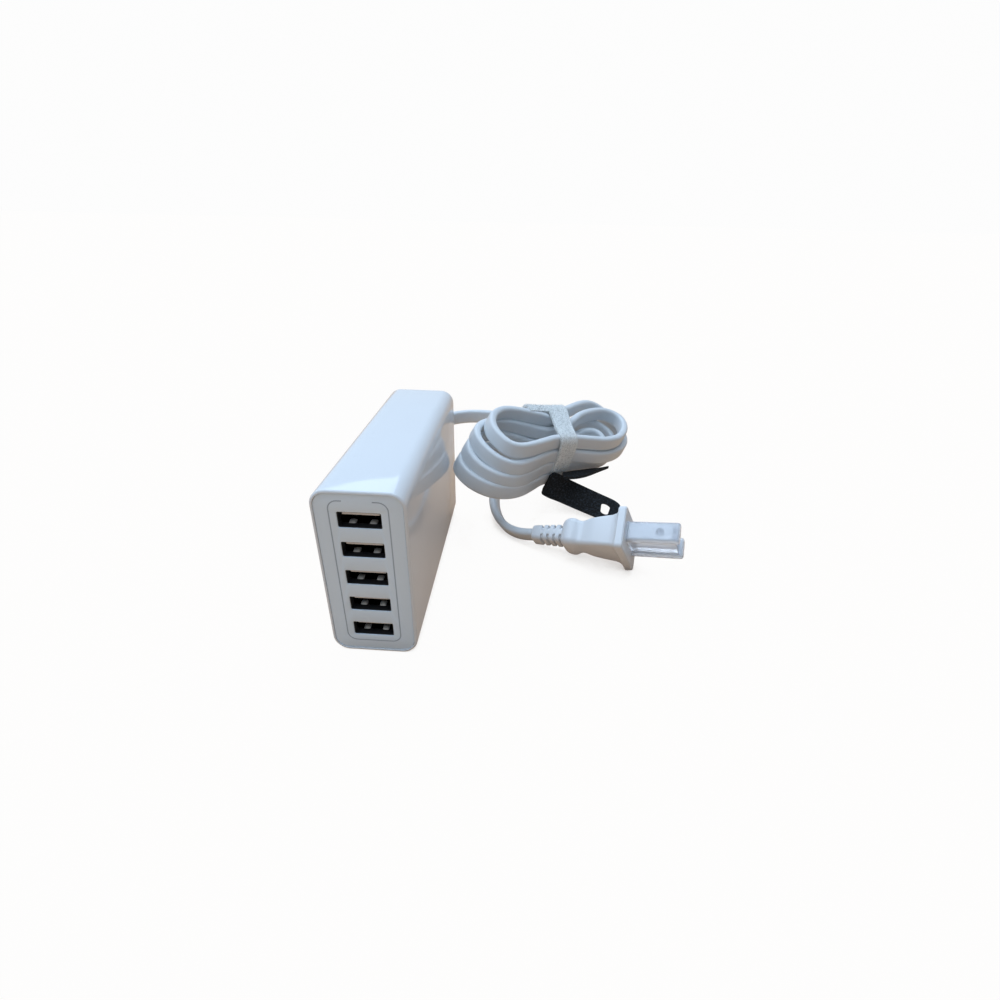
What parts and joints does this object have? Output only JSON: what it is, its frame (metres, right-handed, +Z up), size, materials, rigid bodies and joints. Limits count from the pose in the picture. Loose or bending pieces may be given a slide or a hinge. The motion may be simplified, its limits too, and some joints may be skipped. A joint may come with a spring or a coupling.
{
  "type": "multi-port usb desktop charger",
  "caption": "Upright white USB desktop charger: a column of USB sockets in the narrow front, a mains inlet behind, and a flat mains cord tied in a hank, its plug in a clear cover.",
  "frame": {"origin": "under the middle of the casing, on the surface that it stands on", "axes": "+Z up, -Y towards the ports, +X to the right of someone facing the ports"},
  "size_m": [0.1214, 0.1413, 0.058],
  "materials": {
    "casing_white": "smooth high-gloss moulding",
    "panel_white": "satin moulding",
    "plug_white": "satin flexible moulding",
    "cord_white": "satin extruded sheath",
    "strap_grey": "napped hook-and-loop strap",
    "cover_clear": "clear soft moulding",
    "blade_metal": "nickel-plated strip",
    "socket_steel": "plated sheet",
    "contact_gold": "gold-plated strip",
    "tongue_black": "moulded",
    "inlet_white": "moulded",
    "board_green": "lacquered laminate",
    "film_clear": "thin sheet",
    "ferrite_grey": "ground ferrite",
    "winding_tape": "taped winding",
    "copper_wire": "enamelled wire",
    "can_sleeve": "shrunk sleeve",
    "film_capacitor": "moulded case",
    "disc_blue": "dipped disc",
    "package_black": "moulded package",
    "sink_metal": "bare plate"
  },
  "bodies": {
    "root": {"housing": "casing_white", "front_panel": "panel_white", "usb_shell_1": "socket_steel", "usb_shell_2": "socket_steel", "usb_shell_3": "socket_steel", "usb_shell_4": "socket_steel", "usb_shell_5": "socket_steel", "usb_tongue_1": "tongue_black", "usb_tongue_2": "tongue_black", "usb_tongue_3": "tongue_black", "usb_tongue_4": "tongue_black", "usb_tongue_5": "tongue_black", "usb_contacts_1": "contact_gold", "usb_contacts_2": "contact_gold", "usb_contacts_3": "contact_gold", "usb_contacts_4": "contact_gold", "usb_contacts_5": "contact_gold", "main_board": "board_green", "insulation_sheet": "film_clear", "x_capacitor": "film_capacitor", "bridge_rectifier": "package_black", "primary_heat_sink": "sink_metal", "switch_transistor": "package_black", "optocoupler": "package_black", "secondary_heat_sink": "sink_metal", "secondary_rectifier": "package_black", "control_chip": "package_black", "fuse": "package_black", "bulk_capacitor_1": "can_sleeve", "bulk_capacitor_2": "can_sleeve", "output_capacitor_1": "can_sleeve", "output_capacitor_2": "can_sleeve", "y_capacitor": "disc_blue", "transformer_core": "ferrite_grey", "transformer_winding": "winding_tape", "mains_choke": "copper_wire", "ac_inlet": "inlet_white", "inlet_pins": "blade_metal", "connector_body": "plug_white", "connector_contacts": "blade_metal", "plug_body": "plug_white", "plug_blade_a": "blade_metal", "plug_blade_b": "blade_metal", "blade_cover": "cover_clear", "cord_hank": "cord_white", "cord_lead": "cord_white", "cord_tail": "cord_white", "strap": "strap_grey"}
  },
  "joints": []
}
